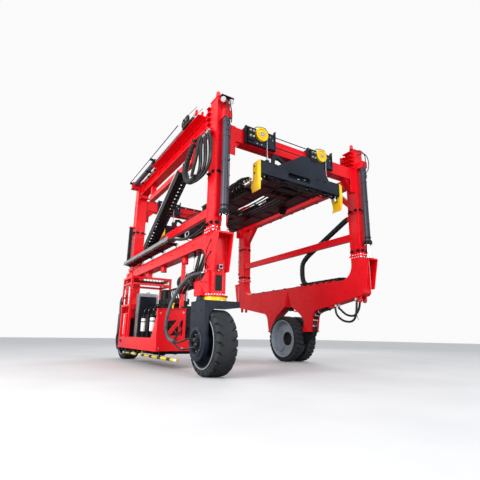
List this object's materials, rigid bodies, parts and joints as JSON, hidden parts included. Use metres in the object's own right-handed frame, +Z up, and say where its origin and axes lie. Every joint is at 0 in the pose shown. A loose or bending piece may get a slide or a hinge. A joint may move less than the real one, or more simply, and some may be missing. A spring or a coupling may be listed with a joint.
{
  "type": "three-wheel mobile gantry crane for containers",
  "caption": "Rubber-tyred gantry on steered wheels, with telescopic box columns, lift cylinders, rope-hung container spreader and a side-mounted power pack",
  "frame": {"origin": "on the ground, under the middle of the gantry", "axes": "+X across to the right, +Y along the travel away from the lamp end, +Z up"},
  "size_m": [5.24, 6.77, 5.925],
  "materials": {
    "red_paint": "bright gloss red enamel on welded steel",
    "navy_paint": "dark blue-black satin paint on steel",
    "barrel_paint": "slate grey paint on cylinder barrels",
    "black_steel": "matt black paint on steel",
    "yellow_paint": "signal yellow paint on steel",
    "rim_paint": "light blue-grey paint on rims",
    "white_paint": "white painted canisters",
    "bright_rod": "hard chromed ground rod",
    "bare_steel": "bare and galvanised steel",
    "tyre_rubber": "solid tyre rubber with light dust",
    "hose_rubber": "black hydraulic hose",
    "chain_plastic": "black moulded energy chain links",
    "beacon_red": "red beacon lens"
  },
  "bodies": {
    "chassis": {"near_left_leg": "red_paint", "far_left_leg": "red_paint", "left_chassis_beam": "red_paint", "right_chassis_beam": "red_paint", "chassis_uprights": "red_paint", "wheel_legs": "red_paint", "axle_carrier": "black_steel", "inner_masts": "bare_steel", "lift_rods": "bright_rod", "cylinder_brackets": "red_paint", "slew_rings": "yellow_paint", "cable_tray": "bare_steel", "power_pack_base": "red_paint", "operator_frame": "red_paint", "engine": "black_steel", "radiator": "bare_steel", "air_filters": "white_paint", "bumper_bars": "yellow_paint", "left_drag_chain": "chain_plastic", "right_drag_chain": "chain_plastic", "chain_tray": "bare_steel", "tie_down_lugs": "red_paint", "underbody_hoses": "hose_rubber", "near_hub_hose": "hose_rubber"},
    "near_steer_fork": {"near_fork": "navy_paint"},
    "far_steer_fork": {"far_fork": "navy_paint"},
    "near_left_wheel": {"near_left_tyre": "tyre_rubber", "near_left_rim": "rim_paint"},
    "far_left_wheel": {"far_left_tyre": "tyre_rubber", "far_left_rim": "rim_paint"},
    "drive_wheel": {"drive_tyres": "tyre_rubber", "drive_rims": "rim_paint"},
    "upper_frame": {"near_left_sleeve": "red_paint", "far_left_sleeve": "red_paint", "near_right_sleeve": "red_paint", "far_right_sleeve": "red_paint", "front_cross_beam": "red_paint", "rear_cross_beam": "red_paint", "left_upper_beam": "red_paint", "right_upper_beam": "red_paint", "mid_braces": "red_paint", "lift_barrels": "barrel_paint", "pulley_blocks": "navy_paint", "hoist_cylinder": "barrel_paint", "chain_guide": "black_steel", "hose_bundle": "hose_rubber", "beacons": "beacon_red", "work_lamps": "black_steel", "hoist_ropes": "bare_steel"},
    "hoist_ram": {"hoist_rod": "black_steel"},
    "near_left_sheave": {"near_left_pulley": "yellow_paint"},
    "near_right_sheave": {"near_right_pulley": "yellow_paint"},
    "far_left_sheave": {"far_left_pulley": "yellow_paint"},
    "far_right_sheave": {"far_right_pulley": "yellow_paint"},
    "spreader": {"near_end_beam": "navy_paint", "far_end_beam": "navy_paint", "spreader_beams": "navy_paint", "corner_guides": "yellow_paint", "twistlocks": "black_steel", "spreader_gear": "black_steel"}
  },
  "joints": [
    {"name": "mast_lift", "type": "slide", "parent": "chassis", "child": "upper_frame", "axis": [0, 0, 1], "range_m": [0, 1.8], "deforming": ["right_drag_chain", "left_drag_chain"]},
    {"name": "hoist", "type": "slide", "parent": "upper_frame", "child": "spreader", "axis": [0, 0, -1], "range_m": [0, 1.7], "deforming": ["hoist_ropes"]},
    {"name": "hoist_ram_slide", "type": "slide", "parent": "upper_frame", "child": "hoist_ram", "axis": [0, 1, 0], "range_m": [0, 0.85]},
    {"name": "near_steer", "type": "hinge", "parent": "chassis", "child": "near_steer_fork", "pos_m": [-2.1, -2.785, 1.345], "axis": [0, 0, 1], "range_deg": [-90, 90], "deforming": ["near_hub_hose"]},
    {"name": "far_steer", "type": "hinge", "parent": "chassis", "child": "far_steer_fork", "pos_m": [-2.1, 2.785, 1.345], "axis": [0, 0, 1], "range_deg": [-90, 90]},
    {"name": "near_left_spin", "type": "hinge", "parent": "near_steer_fork", "child": "near_left_wheel", "pos_m": [-2.1, -2.785, 0.6], "axis": [1, 0, 0], "continuous": true},
    {"name": "far_left_spin", "type": "hinge", "parent": "far_steer_fork", "child": "far_left_wheel", "pos_m": [-2.1, 2.785, 0.6], "axis": [1, 0, 0], "continuous": true},
    {"name": "drive_spin", "type": "hinge", "parent": "chassis", "child": "drive_wheel", "pos_m": [2.1, 0, 0.665], "axis": [1, 0, 0], "continuous": true},
    {"name": "near_left_sheave_spin", "type": "hinge", "parent": "upper_frame", "child": "near_left_sheave", "pos_m": [-1.16, -3.015, 5.09], "axis": [0, 1, 0], "continuous": true},
    {"name": "near_right_sheave_spin", "type": "hinge", "parent": "upper_frame", "child": "near_right_sheave", "pos_m": [0.64, -3.015, 5.09], "axis": [0, 1, 0], "continuous": true},
    {"name": "far_left_sheave_spin", "type": "hinge", "parent": "upper_frame", "child": "far_left_sheave", "pos_m": [-1.16, 2.555, 5.09], "axis": [0, 1, 0], "continuous": true},
    {"name": "far_right_sheave_spin", "type": "hinge", "parent": "upper_frame", "child": "far_right_sheave", "pos_m": [0.64, 2.555, 5.09], "axis": [0, 1, 0], "continuous": true}
  ],
  "couplings": [
    {"joint": "hoist_ram_slide", "follows": "hoist", "ratio": 0.5},
    {"joint": "near_left_sheave_spin", "follows": "hoist", "rad_per_m": 6.579},
    {"joint": "near_right_sheave_spin", "follows": "hoist", "rad_per_m": 6.579},
    {"joint": "far_left_sheave_spin", "follows": "hoist", "rad_per_m": 6.579},
    {"joint": "far_right_sheave_spin", "follows": "hoist", "rad_per_m": 6.579}
  ]
}
